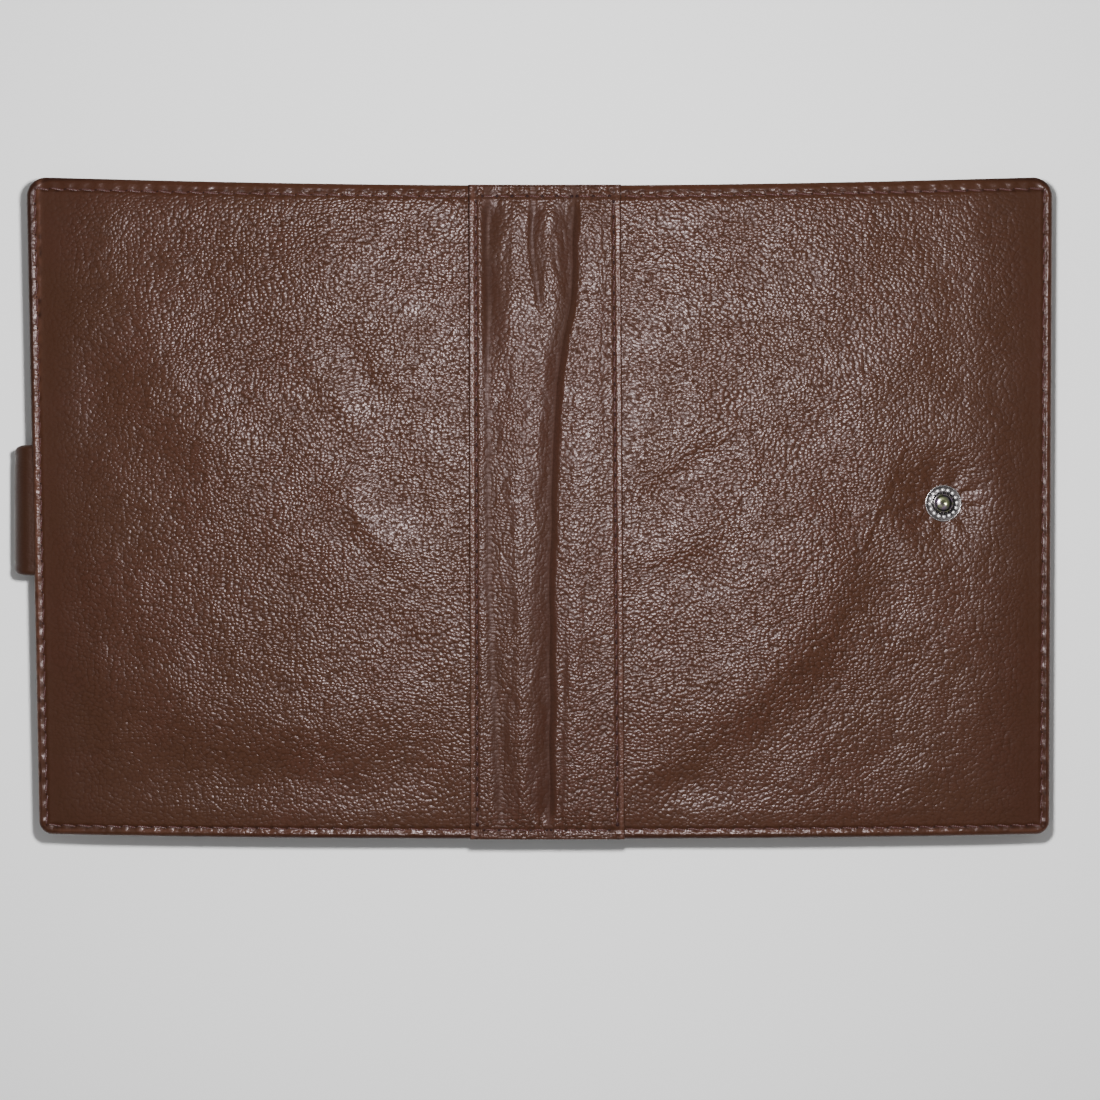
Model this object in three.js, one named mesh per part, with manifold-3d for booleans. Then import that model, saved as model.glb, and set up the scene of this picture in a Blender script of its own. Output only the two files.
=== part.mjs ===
// A leather passport wallet, opened flat with its outside up: a front cover with a snap stud, a spine strip
// and a back cover whose closing tab is tucked underneath. Millimetres, +Z up. The origin is the middle of
// the whole outline, on the surface that the wallet lies on.
import * as THREE from "three";
import { mergeVertices } from "three/addons/utils/BufferGeometryUtils.js";
import Module from "manifold-3d";

const wasm = await Module();
wasm.setup();

// ---- Driving dimensions ----
const HEIGHT = 145; // along Y
const COVER_EDGE = 112.75; // from the middle of the spine to a cover's free edge
const SPINE_WIDTH = 34; // the strip that is lapped over both covers
const LAP = 4; // how far a cover's leather runs under the strip
const TOP_CORNER = 4.5;
const BOTTOM_CORNER = 3;

const GLUE = 0.05; // the gap between two sheets that lie on each other
const LEATHER = 1.0;
const BOARD = 0.9;
const LINING = 0.5;
const HEM = 0.9; // the skived leather turned under at the free edges
const HEM_WIDTH = 7;
const INSET = 1; // how far the inner sheets stay inside the free edges
const COVER_TOP = 9;
const STRIP_TOP = 10;
const SHUT_GAP = 1; // between the covers' insides when the wallet is shut

const POCKET = 0.9; // one pocket panel
const POCKET_PITCH = 1.2;
const SLOT_STEP = 8; // from one card slot's mouth to the next
const CARD_POCKET = 66; // from the highest slot's mouth to its closed end
const SLOTS_IN_GROUP = 3;

const SNAP_FROM_EDGE = 24.4;
const SNAP_Y = 1;
const TAB_Y = -0.5;
const TAB_WIDTH = 28.8; // along Y
const TAB_REACH = 4; // how far the tab's bend stands out past the cover
const TAB_PLY = 0.8;
const TAB_BOTTOM = 0.75; // the underside of the tucked tab
const TAB_TIP_FROM_EDGE = 35;
const TAB_TIP_CORNER = 9;
const SLOT_PLAY = 0.3;

const STITCH_WIDTH = 0.5;
const STITCH_HEIGHT = 0.25;
const EDGE_SEAM = 2.2; // from a free edge to its seam
const STRIP_SEAM = 1.6; // from the strip's turned edge to its seam

// ---- Levels and places that follow ----
const HALF = HEIGHT / 2;
const STRIP_EDGE = SPINE_WIDTH / 2;
const FOLD = STRIP_TOP + SHUT_GAP / 2; // each fold line's distance from the middle of the spine
const PLATE_BOTTOM = COVER_TOP - LEATHER;
const BOARD_TOP = PLATE_BOTTOM - GLUE;
const BOARD_BOTTOM = BOARD_TOP - BOARD;
const HEM_TOP = BOARD_BOTTOM - GLUE;
const HEM_BOTTOM = HEM_TOP - HEM;
const LINING_TOP = HEM_BOTTOM - GLUE;
const LINING_BOTTOM = LINING_TOP - LINING;
const SNAP_X = COVER_EDGE - SNAP_FROM_EDGE;
const TAB_THICK = 2 * TAB_PLY + GLUE;
const TAB_TOP = TAB_BOTTOM + TAB_THICK;
const BEND_OUTER = (HEM_TOP - GLUE - TAB_BOTTOM) / 2;
const BEND_X = -(COVER_EDGE + TAB_REACH - BEND_OUTER);
const BEND_Z = TAB_BOTTOM + BEND_OUTER;

const COLOURS = {
  leather: 0x5a3a30,
  inner_leather: 0x4e3026,
  lining: 0x3a2a24,
  board: 0x8c8378,
  thread: 0x4a1f1e,
  metal: 0x8a8784,
};

function material(kind) {
  const metal = kind === "metal";
  return new THREE.MeshStandardMaterial({
    color: COLOURS[kind],
    roughness: metal ? 0.25 : kind === "leather" ? 0.5 : 0.75,
    metalness: metal ? 1 : 0,
  });
}

const wallet = new THREE.Group();
wallet.position.x = TAB_REACH / 2;

function add(name, kind, geometry) {
  const mesh = new THREE.Mesh(geometry, material(kind));
  mesh.name = name;
  wallet.add(mesh);
  return mesh;
}

// ---- Solids ----
function toSolid(geometry) {
  const bare = geometry.index ? geometry.toNonIndexed() : geometry.clone();
  bare.deleteAttribute("normal");
  bare.deleteAttribute("uv");
  const merged = mergeVertices(bare, 1e-4);
  return new wasm.Manifold(
    new wasm.Mesh({
      numProp: 3,
      vertProperties: merged.attributes.position.array,
      triVerts: new Uint32Array(merged.index.array),
    }),
  );
}

function toGeometry(solid) {
  const mesh = solid.getMesh();
  const geometry = new THREE.BufferGeometry();
  geometry.setAttribute("position", new THREE.BufferAttribute(mesh.vertProperties, 3));
  geometry.setIndex(new THREE.BufferAttribute(mesh.triVerts, 1));
  return geometry;
}

// A flat sheet of this outline between two levels.
function sheet(shape, low, high, curveSegments = 6) {
  const options = { depth: high - low, bevelEnabled: false, curveSegments };
  return new THREE.ExtrudeGeometry(shape, options).translate(0, 0, low);
}

function box(x0, x1, y0, y1, z0, z1) {
  const geometry = new THREE.BoxGeometry(x1 - x0, y1 - y0, z1 - z0);
  return geometry.translate((x0 + x1) / 2, (y0 + y1) / 2, (z0 + z1) / 2);
}

function rod(radius, x, y, z0, z1, sides = 20) {
  const geometry = new THREE.CylinderGeometry(radius, radius, z1 - z0, sides);
  return geometry.rotateX(Math.PI / 2).translate(x, y, (z0 + z1) / 2);
}

// A turned piece about a vertical axis, from [radius, height] points.
function turned(points, x, y, segments = 32) {
  const profile = points.map(([r, z]) => new THREE.Vector2(r, z));
  const geometry = new THREE.LatheGeometry(profile, segments);
  return geometry.rotateX(Math.PI / 2).translate(x, y, 0);
}

// A cover's outline on the side +1 (front) or -1 (back): square at the spine, rounded at its free corners.
function coverOutline(side, inner, inset) {
  const outer = COVER_EDGE - inset;
  const half = HALF - inset;
  const top = Math.max(TOP_CORNER - inset, 0.5);
  const bottom = Math.max(BOTTOM_CORNER - inset, 0.5);
  const shape = new THREE.Shape();
  shape.moveTo(side * inner, half);
  shape.lineTo(side * (outer - top), half);
  shape.quadraticCurveTo(side * outer, half, side * outer, half - top);
  shape.lineTo(side * outer, -half + bottom);
  shape.quadraticCurveTo(side * outer, -half, side * (outer - bottom), -half);
  shape.lineTo(side * inner, -half);
  shape.closePath();
  return shape;
}

function rectangle(x0, x1, y0, y1) {
  const shape = new THREE.Shape();
  shape.moveTo(x0, y0);
  shape.lineTo(x1, y0);
  shape.lineTo(x1, y1);
  shape.lineTo(x0, y1);
  shape.closePath();
  return shape;
}

// ---- Covers ----
const CUT = 1; // how far a cutting tool runs past what it cuts

// The outer leather: a flat top whose free edges turn down and under, as a hem.
function outerLeather(side) {
  let solid = toSolid(sheet(coverOutline(side, STRIP_EDGE - LAP, 0), HEM_BOTTOM, COVER_TOP));
  const past = STRIP_EDGE - LAP - CUT;
  const boardRoom = sheet(coverOutline(side, past, LEATHER), HEM_TOP, PLATE_BOTTOM);
  const hemRoom = sheet(coverOutline(side, past, HEM_WIDTH), HEM_BOTTOM - CUT, HEM_TOP + CUT / 4);
  solid = solid.subtract(toSolid(boardRoom)).subtract(toSolid(hemRoom));
  return solid;
}

function board(side) {
  return toSolid(sheet(coverOutline(side, STRIP_EDGE, LEATHER + SLOT_PLAY), BOARD_BOTTOM, BOARD_TOP));
}

function lining(side) {
  return sheet(coverOutline(side, STRIP_EDGE, INSET), LINING_BOTTOM, LINING_TOP);
}

// The seam along a cover's three free edges, as one bar of thread on the leather.
function edgeThread(side) {
  const outside = sheet(coverOutline(side, STRIP_EDGE + SLOT_PLAY, EDGE_SEAM), COVER_TOP + GLUE,
    COVER_TOP + GLUE + STITCH_HEIGHT);
  const inside = sheet(coverOutline(side, STRIP_EDGE - CUT, EDGE_SEAM + STITCH_WIDTH), COVER_TOP,
    COVER_TOP + CUT);
  return toGeometry(toSolid(outside).subtract(toSolid(inside)));
}

function buildFrontCover() {
  const postHole = rod(1.5, SNAP_X, SNAP_Y, HEM_BOTTOM, COVER_TOP + CUT);
  add("front_outer_leather", "leather", toGeometry(outerLeather(1).subtract(toSolid(postHole))));
  add("front_stiffener", "board", toGeometry(board(1).subtract(toSolid(postHole))));
  add("front_lining", "lining", lining(1));
  add("front_edge_thread", "thread", edgeThread(1));
}

function buildBackCover() {
  const half = TAB_WIDTH / 2 + SLOT_PLAY;
  const tabSlot = box(-COVER_EDGE - CUT, -COVER_EDGE + HEM_WIDTH + CUT, TAB_Y - half, TAB_Y + half,
    HEM_BOTTOM - CUT, HEM_TOP);
  add("back_outer_leather", "leather", toGeometry(outerLeather(-1).subtract(toSolid(tabSlot))));
  add("back_stiffener", "board", toGeometry(board(-1)));
  add("back_lining", "lining", lining(-1));
  add("back_edge_thread", "thread", edgeThread(-1));
}

// ---- Pockets ----
// The front cover's inside: a ticket pocket over its whole height, and two groups of stepped card slots.
function buildFrontPockets() {
  const ticketBottom = SLOTS_IN_GROUP * POCKET_PITCH + GLUE;
  const ticket = coverOutline(1, STRIP_EDGE + INSET, INSET);
  add("ticket_pocket", "inner_leather", sheet(ticket, ticketBottom, ticketBottom + POCKET));

  const groups = { upper: 0.5, lower: -HALF + INSET };
  const x0 = STRIP_EDGE + INSET;
  const x1 = COVER_EDGE - INSET;
  for (const [group, closedEnd] of Object.entries(groups)) {
    for (let k = 0; k < SLOTS_IN_GROUP; k++) {
      // Slot 1 lies against the ticket pocket; each next one is a step shorter and nearer the inside.
      const mouth = closedEnd + CARD_POCKET - k * SLOT_STEP;
      const low = (SLOTS_IN_GROUP - 1 - k) * POCKET_PITCH;
      const shape = rectangle(x0, x1, closedEnd, mouth);
      add(`card_slot_${group}_${k + 1}`, "inner_leather", sheet(shape, low, low + POCKET));
    }
  }
}

// The back cover's inside: one sleeve for the passport's cover, open to the spine, with a thumb notch.
function buildPassportSleeve() {
  const SLEEVE_MOUTH = 46;
  const NOTCH = 9;
  const top = LINING_BOTTOM - GLUE * 5;
  const shape = new THREE.Shape();
  const outer = -(COVER_EDGE - INSET);
  const half = HALF - INSET;
  shape.moveTo(-SLEEVE_MOUTH, half);
  shape.lineTo(outer, half);
  shape.lineTo(outer, -half);
  shape.lineTo(-SLEEVE_MOUTH, -half);
  shape.lineTo(-SLEEVE_MOUTH, -NOTCH);
  shape.absarc(-SLEEVE_MOUTH, 0, NOTCH, -Math.PI / 2, Math.PI / 2, true);
  shape.closePath();
  add("passport_sleeve", "inner_leather", sheet(shape, top - TAB_PLY, top, 10));
}

// ---- Spine ----
// A length of the strip from a [x at the top, x at the bottom] edge to another, skived where they differ.
function stripLength([top0, bottom0], [top1, bottom1]) {
  const section = new THREE.Shape();
  section.moveTo(bottom0, COVER_TOP + GLUE);
  section.lineTo(bottom1, COVER_TOP + GLUE);
  section.lineTo(top1, STRIP_TOP);
  section.lineTo(top0, STRIP_TOP);
  section.closePath();
  const geometry = new THREE.ExtrudeGeometry(section, { depth: HEIGHT, bevelEnabled: false });
  return geometry.rotateX(Math.PI / 2).translate(0, HALF, 0);
}

function buildSpine() {
  const skive = STRIP_TOP - COVER_TOP - GLUE;
  const inside = FOLD - GLUE;
  const outside = FOLD + GLUE;
  add("spine_strip", "leather", stripLength([-inside, skive - inside], [inside, inside - skive]));
  add("strip_lap_front", "leather", stripLength([outside, outside + skive], [STRIP_EDGE, STRIP_EDGE]));
  add("strip_lap_back", "leather", stripLength([-STRIP_EDGE, -STRIP_EDGE], [-outside, -outside - skive]));

  // The sheets under the strip stop short of the folds, to clear the covers when the wallet shuts.
  const reach = FOLD - skive - 3 * GLUE;
  const under = rectangle(-reach, reach, -HALF + INSET, HALF - INSET);
  const stiffenerTop = COVER_TOP - 2 * GLUE;
  const stiffenerBottom = stiffenerTop - 0.4;
  add("spine_stiffener", "board", sheet(under, stiffenerBottom, stiffenerTop));
  add("spine_lining", "lining", sheet(under, stiffenerBottom - GLUE - LINING, stiffenerBottom - GLUE));

  const z0 = STRIP_TOP + GLUE;
  const z1 = z0 + STITCH_HEIGHT;
  const end = HALF - EDGE_SEAM;
  for (const [name, side] of [["front", 1], ["back", -1]]) {
    const x = side * (STRIP_EDGE - STRIP_SEAM);
    const thread = box(x - STITCH_WIDTH / 2, x + STITCH_WIDTH / 2, -end, end, z0, z1);
    add(`lap_thread_${name}`, "thread", thread);
  }
  for (const [name, side] of [["top", 1], ["bottom", -1]]) {
    const y = side * (end - STITCH_WIDTH / 2);
    const thread = box(-reach, reach, y - STITCH_WIDTH / 2, y + STITCH_WIDTH / 2, z0, z1);
    add(`spine_thread_${name}`, "thread", thread);
  }
}

// ---- Closing tab, folded under the back cover ----
// The tucked length's outline, from the bend to its rounded tip.
function tabOutline(inset) {
  const x0 = BEND_X + SLOT_PLAY + inset;
  const x1 = -(COVER_EDGE - TAB_TIP_FROM_EDGE) - inset;
  const half = TAB_WIDTH / 2 - inset;
  const corner = TAB_TIP_CORNER - inset;
  const shape = new THREE.Shape();
  shape.moveTo(x0, TAB_Y - half);
  shape.lineTo(x1 - corner, TAB_Y - half);
  shape.absarc(x1 - corner, TAB_Y - half + corner, corner, -Math.PI / 2, 0, false);
  shape.lineTo(x1, TAB_Y + half - corner);
  shape.absarc(x1 - corner, TAB_Y + half - corner, corner, 0, Math.PI / 2, false);
  shape.lineTo(x0, TAB_Y + half);
  shape.closePath();
  return shape;
}

function buildTab() {
  const ROOT_INSIDE = 14;
  const half = TAB_WIDTH / 2;
  add("tab_root", "leather", box(BEND_X + GLUE, -COVER_EDGE + ROOT_INSIDE, TAB_Y - half, TAB_Y + half,
    HEM_BOTTOM + GLUE, HEM_TOP - GLUE));

  // The bend: half a tube, from the root down and round to the tucked length.
  const bend = new THREE.Shape();
  bend.absarc(0, 0, BEND_OUTER, Math.PI / 2, (3 * Math.PI) / 2, false);
  bend.absarc(0, 0, BEND_OUTER - TAB_THICK, (3 * Math.PI) / 2, Math.PI / 2, true);
  bend.closePath();
  const options = { depth: TAB_WIDTH, bevelEnabled: false, curveSegments: 14 };
  const bendGeometry = new THREE.ExtrudeGeometry(bend, options);
  bendGeometry.rotateX(Math.PI / 2).translate(BEND_X, TAB_Y + half, BEND_Z);
  add("tab_bend", "leather", bendGeometry);

  const hole = toSolid(rod(1.7, -SNAP_X, SNAP_Y, -CUT, TAB_TOP + CUT));
  const outer = toSolid(sheet(tabOutline(0), TAB_BOTTOM, TAB_BOTTOM + TAB_PLY));
  const inner = toSolid(sheet(tabOutline(0), TAB_TOP - TAB_PLY, TAB_TOP));
  add("tab_outer_ply", "leather", toGeometry(outer.subtract(hole)));
  add("tab_inner_ply", "inner_leather", toGeometry(inner.subtract(hole)));

  const z1 = TAB_BOTTOM - GLUE;
  const seam = toSolid(sheet(tabOutline(EDGE_SEAM), z1 - STITCH_HEIGHT, z1));
  const within = toSolid(sheet(tabOutline(EDGE_SEAM + STITCH_WIDTH), z1 - CUT, z1 + CUT));
  add("tab_thread", "thread", toGeometry(seam.subtract(within)));
}

// ---- Snap ----
function buildStud() {
  const FLANGE = 4;
  const BEADS = 16;
  const BEAD_CIRCLE = 3.05;
  const BEAD = 0.4;
  const BEAD_FLATNESS = 0.75;
  const z = COVER_TOP + GLUE;
  const profile = [
    [0, z + 0.95], [1.3, z + 0.95], [1.3, z], [FLANGE, z], [FLANGE, z + 0.35], [FLANGE - 0.25, z + 0.5],
    [FLANGE - 0.5, z + 0.35], [2.35, z + 0.25], [1.65, z + 0.3], [1.6, z + 0.75], [1.9, z + 1.0],
    [2.0, z + 1.3], [1.85, z + 1.6], [1.35, z + 1.8], [0, z + 1.85],
  ];
  let stud = toSolid(turned(profile, SNAP_X, SNAP_Y));
  for (let k = 0; k < BEADS; k++) {
    const angle = (2 * Math.PI * k) / BEADS;
    const x = SNAP_X + BEAD_CIRCLE * Math.cos(angle);
    const bead = new THREE.SphereGeometry(BEAD, 8, 6).scale(1, 1, BEAD_FLATNESS);
    bead.translate(x, SNAP_Y + BEAD_CIRCLE * Math.sin(angle), z + BEAD - GLUE);
    stud = stud.add(toSolid(bead));
  }
  add("snap_stud", "metal", toGeometry(stud));

  const low = BOARD_BOTTOM - GLUE;
  const rivet = [
    [0, low - 0.45], [3.1, low - 0.45], [3.5, low - 0.2], [3.4, low], [1.2, low], [1.2, z + 0.9], [0, z + 0.9],
  ];
  add("snap_stud_rivet", "metal", turned(rivet, SNAP_X, SNAP_Y));
}

function buildSocket() {
  const CAVITY = 2.75;
  const LIP = 2.35; // the mouth, which holds the spring in and lets the stud's ball through
  const LIP_HEIGHT = 0.25;
  const floorLow = TAB_TOP + GLUE;
  const floorHigh = floorLow + 0.35;
  const mouth = floorLow + 1.95;
  const under = TAB_BOTTOM - GLUE;
  const headLow = floorHigh + GLUE;
  const headHigh = headLow + 0.2;
  const cap = [
    [0, 0], [3.4, 0.06], [4.6, 0.25], [5, 0.5], [4.85, under], [1.5, under], [1.5, headLow], [2.1, headLow],
    [2, headHigh], [0, headHigh],
  ];
  add("snap_cap", "metal", turned(cap, -SNAP_X, SNAP_Y));

  const ring = [
    [1.7, floorLow], [4.25, floorLow], [4.25, mouth - 0.3], [3.95, mouth], [LIP, mouth],
    [LIP, mouth - LIP_HEIGHT], [CAVITY, mouth - LIP_HEIGHT], [CAVITY, floorHigh], [1.7, floorHigh],
    [1.7, floorLow],
  ];
  add("snap_socket", "metal", turned(ring, -SNAP_X, SNAP_Y));

  // The split spring ring that grips the stud's ball.
  const WIRE = 0.22;
  const RING = 2.45;
  const STEPS = 24;
  const GAP = 0.35; // the split, as an angle
  const level = mouth - LIP_HEIGHT - GLUE - WIRE;
  const points = [];
  for (let k = 0; k <= STEPS; k++) {
    const angle = GAP + ((2 * Math.PI - 2 * GAP) * k) / STEPS;
    const x = -SNAP_X + RING * Math.cos(angle);
    points.push(new THREE.Vector3(x, SNAP_Y + RING * Math.sin(angle), level));
  }
  const section = new THREE.Shape().absarc(0, 0, WIRE, 0, 2 * Math.PI, false);
  add("snap_spring", "metal", new THREE.ExtrudeGeometry(section, {
    extrudePath: new THREE.CatmullRomCurve3(points), steps: STEPS, curveSegments: 4, bevelEnabled: false,
  }));
}

buildFrontCover();
buildFrontPockets();
buildBackCover();
buildPassportSleeve();
buildSpine();
buildTab();
buildStud();
buildSocket();

export default wallet;
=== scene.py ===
"""A leather passport wallet, open and flat with its outside up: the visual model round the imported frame.

Shapes are worked out in millimetres and handed to Blender in metres.
"""
import math

import bmesh
import bpy
import numpy as np
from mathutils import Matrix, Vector


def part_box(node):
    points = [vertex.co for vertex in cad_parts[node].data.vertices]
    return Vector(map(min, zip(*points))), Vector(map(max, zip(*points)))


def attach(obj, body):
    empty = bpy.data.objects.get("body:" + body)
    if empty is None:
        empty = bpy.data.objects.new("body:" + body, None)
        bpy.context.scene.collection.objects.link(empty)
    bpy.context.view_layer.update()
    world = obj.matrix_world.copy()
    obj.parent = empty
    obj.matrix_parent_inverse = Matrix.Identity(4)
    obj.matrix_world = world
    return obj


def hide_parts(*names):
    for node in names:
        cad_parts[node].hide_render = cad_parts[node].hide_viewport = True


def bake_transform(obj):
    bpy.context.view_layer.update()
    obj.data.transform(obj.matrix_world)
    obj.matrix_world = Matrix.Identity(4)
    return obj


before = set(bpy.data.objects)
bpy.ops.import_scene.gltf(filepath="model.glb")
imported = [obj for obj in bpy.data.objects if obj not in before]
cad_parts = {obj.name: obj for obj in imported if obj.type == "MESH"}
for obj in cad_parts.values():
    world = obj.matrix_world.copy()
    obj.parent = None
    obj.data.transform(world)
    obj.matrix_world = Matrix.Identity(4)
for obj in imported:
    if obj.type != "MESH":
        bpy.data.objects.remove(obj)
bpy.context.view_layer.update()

MM = 0.001
PITCH = 3.4  # from one stitch to the next


def node_box(name):
    """A CAD node's box in millimetres, as two arrays."""
    low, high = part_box(name)
    return np.array(low) / MM, np.array(high) / MM


# ---- Sizes taken from the frame ----
FRONT_LOW, FRONT_HIGH = node_box("front_outer_leather")
BACK_LOW, BACK_HIGH = node_box("back_outer_leather")
STRIP_LOW, STRIP_HIGH = node_box("strip_lap_back")[0], node_box("strip_lap_front")[1]
STUD_LOW, STUD_HIGH = node_box("snap_stud")
BEND_LOW, BEND_HIGH = node_box("tab_bend")
PLY_LOW, PLY_HIGH = node_box("tab_outer_ply")
SPINE_X = (BACK_LOW[0] + FRONT_HIGH[0]) / 2
HALF = FRONT_HIGH[1]
EDGE = FRONT_HIGH[0] - SPINE_X
UNDER_STRIP = FRONT_LOW[0] - SPINE_X
COVER_TOP = FRONT_HIGH[2]
STRIP_TOP = STRIP_HIGH[2]
STUD = (STUD_LOW + STUD_HIGH) / 2
SIDE = {"front_cover": 1, "back_cover": -1}  # of the spine in x


# ---- Noise, the same on each run ----
LATTICE = 64  # the noise repeats after this many units
NOISE_GAIN = 1.6  # brings it to about -1 to 1


def noise(x, y, seed):
    """Smooth gradient noise over the plane, from about -1 to 1, with one bump a unit."""
    turn = np.random.default_rng(seed).uniform(0, 2 * math.pi, (LATTICE, LATTICE))
    xi, yi = np.floor(x).astype(int), np.floor(y).astype(int)
    fx, fy = x - xi, y - yi

    def corner(i, j):
        angle = turn[(xi + i) % LATTICE, (yi + j) % LATTICE]
        return np.cos(angle) * (fx - i) + np.sin(angle) * (fy - j)

    u = fx * fx * (3 - 2 * fx)
    v = fy * fy * (3 - 2 * fy)
    low = corner(0, 0) * (1 - u) + corner(1, 0) * u
    high = corner(0, 1) * (1 - u) + corner(1, 1) * u
    return (low * (1 - v) + high * v) * NOISE_GAIN


def ramp(value, low, high):
    t = np.clip((value - low) / (high - low), 0, 1)
    return t * t * (3 - 2 * t)


def bell(offset, width):
    return np.exp(-((offset / width) ** 2))


def quarter_round(d, radius):
    """How far a rounded edge lies below the flat, at the distance d from it."""
    d = np.clip(d, 0, radius)
    return radius - np.sqrt(np.maximum(radius**2 - (radius - d) ** 2, 0))


def along(points, x, y):
    """Distance from a polyline, signed positive to its left, and how far along it as a fraction."""
    best = np.full(np.shape(x), 1e9)
    side = np.ones(np.shape(x))
    place = np.zeros(np.shape(x))
    lengths = [math.dist(a, b) for a, b in zip(points, points[1:])]
    run = 0.0
    for (ax, ay), (bx, by), length in zip(points, points[1:], lengths):
        dx, dy = (bx - ax) / length, (by - ay) / length
        t = np.clip((x - ax) * dx + (y - ay) * dy, 0, length)
        d = np.hypot(x - ax - dx * t, y - ay - dy * t)
        near = d < best
        best = np.where(near, d, best)
        side = np.where(near, np.sign(dx * (y - ay) - dy * (x - ax) + 1e-9), side)
        place = np.where(near, (run + t) / sum(lengths), place)
        run += length
    return best, side, place


def ends_faded(place):
    """1 along most of a line, and close to 0 at its two ends."""
    return np.sin(math.pi * np.clip(place, 0.02, 0.98)) ** 0.6


def fold(points, x, y, width, height):
    """A soft ridge, or a valley where height is negative, that fades out at both ends."""
    d, _, place = along(points, x, y)
    return height * bell(d, width) * ends_faded(place)


STEP_REACH = 4.5  # a step has faded out this many widths away from its line


def step(points, x, y, width, height):
    """The ground to the left of a line stands this much higher, and it fades out away from the line."""
    d, side, place = along(points, x, y)
    lift = height / 2 * np.tanh(side * d / width) * bell(d, width * STEP_REACH)
    return lift * ends_faded(place)


# ---- The hand-made outline ----
TALL = 1.0085  # the leather's height as a part of CAD's
TOP_DIP = 1.9  # how far the top edge dips from the corners to the spine
BOTTOM_SAG = 1.1  # how far the bottom edge sags from the corners to the spine
LEFT_IN, RIGHT_IN = 0.17, 0.5  # how far the free edges lie inside CAD's at mid height
LEFT_LEAN, RIGHT_LEAN = 1.45, 0.35  # and they lean out by this at the top and in at the bottom
UNSHAPE_ROUNDS = 4


def shaped(x, y):
    """Bends the square outline as the sewn leather is bent."""
    u = np.clip((x - SPINE_X) / EDGE, -1.1, 1.1)
    v = y / HALF
    outward = u**2
    dy = -TOP_DIP * (1 - outward) * (1 + v) / 2 + BOTTOM_SAG * outward * (1 - v) / 2
    dx = np.where(u < 0, -u * (LEFT_IN - LEFT_LEAN * v), u * (-RIGHT_IN + RIGHT_LEAN * v))
    return x + dx, y * TALL + dy


def unshaped(px, py):
    """The point of the square outline that shaped moves to px, py, near enough for a thread."""
    x, y = np.array(px, float), np.array(py, float)
    for _ in range(UNSHAPE_ROUNDS):
        sx, sy = shaped(x, y)
        x, y = x + px - sx, y + py - sy
    return x, y


# ---- Meshes ----
WELD = 2e-6  # in metres
SMALLEST_EDGE = 1e-7


def added(name, data):
    """A new object in the scene."""
    obj = bpy.data.objects.new(name, data)
    bpy.context.scene.collection.objects.link(obj)
    return obj


def make(name, points, faces, material, sharp=50):
    """A smooth-shaded mesh object from points in millimetres, which it keeps as the attribute rest."""
    mesh = bpy.data.meshes.new(name)
    mesh.from_pydata((np.asarray(points, float) * MM).tolist(), [], [list(map(int, f)) for f in faces])
    bm = bmesh.new()
    bm.from_mesh(mesh)
    bmesh.ops.remove_doubles(bm, verts=bm.verts, dist=WELD)
    bmesh.ops.dissolve_degenerate(bm, edges=bm.edges, dist=SMALLEST_EDGE)
    bmesh.ops.recalc_face_normals(bm, faces=bm.faces)
    bm.to_mesh(mesh)
    bm.free()
    place = np.empty(len(mesh.vertices) * 3, np.float32)
    mesh.vertices.foreach_get("co", place)
    rest = mesh.attributes.new("rest", "FLOAT_VECTOR", "POINT")
    rest.data.foreach_set("vector", place / MM)
    mesh.shade_smooth()
    mesh.set_sharp_from_angle(angle=math.radians(sharp))
    mesh.materials.append(material)
    return added(name, mesh)


def rest_points(obj):
    rest = np.empty(len(obj.data.vertices) * 3, np.float32)
    obj.data.attributes["rest"].data.foreach_get("vector", rest)
    return rest.reshape(-1, 3).astype(float)


def paint(obj, **layers):
    """Keeps a value from 0 to 1 at each point, by the name that the leather's material reads."""
    for name, values in layers.items():
        attribute = obj.data.attributes.new(name, "FLOAT", "POINT")
        attribute.data.foreach_set("value", np.clip(values, 0, 1).astype(np.float32))


def stacked(x, y, z):
    return np.stack([x.ravel(), y.ravel(), z.ravel()], axis=1)


def grid_faces(columns, rows):
    i, j = np.meshgrid(np.arange(columns - 1), np.arange(rows - 1), indexing="ij")
    a = (i * rows + j).ravel()
    return np.stack([a, a + rows, a + rows + 1, a + 1], axis=1).tolist()


def rim(columns, rows):
    """The indices round the border of a grid, in order."""
    loop = [i * rows for i in range(columns)]
    loop += [(columns - 1) * rows + j for j in range(1, rows)]
    loop += [i * rows + rows - 1 for i in range(columns - 2, -1, -1)]
    loop += [j for j in range(rows - 2, 0, -1)]
    return loop


def shell(columns, rows, top, rings):
    """A closed body: a grid on top, then rings of border points below it, and a flat face at the end."""
    points = [top]
    faces = grid_faces(columns, rows)
    last = rim(columns, rows)
    count = len(top)
    for ring in rings:
        now = list(range(count, count + len(ring)))
        faces += [[last[k - 1], last[k], now[k], now[k - 1]] for k in range(len(now))]
        points.append(ring)
        last = now
        count += len(ring)
    faces.append(last)
    return np.concatenate(points), faces


def ring_faces(rings, sides, capped=False):
    """The faces between rings of points, each joined to the next, and over both ends if capped."""
    faces = []
    for i in range(rings - 1):
        for j in range(sides):
            k = (j + 1) % sides
            faces.append([i * sides + j, i * sides + k, (i + 1) * sides + k, (i + 1) * sides + j])
    if capped:
        faces.append(list(range(sides))[::-1])
        faces.append([(rings - 1) * sides + j for j in range(sides)])
    return faces


# Distances from an edge at which a grid has a line, fine where edges are rounded and seams are pressed in.
EDGE_STEPS = [0, 0.05, 0.14, 0.27, 0.43, 0.62, 0.85, 1.08, 1.3, 1.52]
EDGE_STEPS += [1.74, 1.96, 2.18, 2.4, 2.62, 2.85, 3.1, 3.4, 3.75, 4.15]


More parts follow.
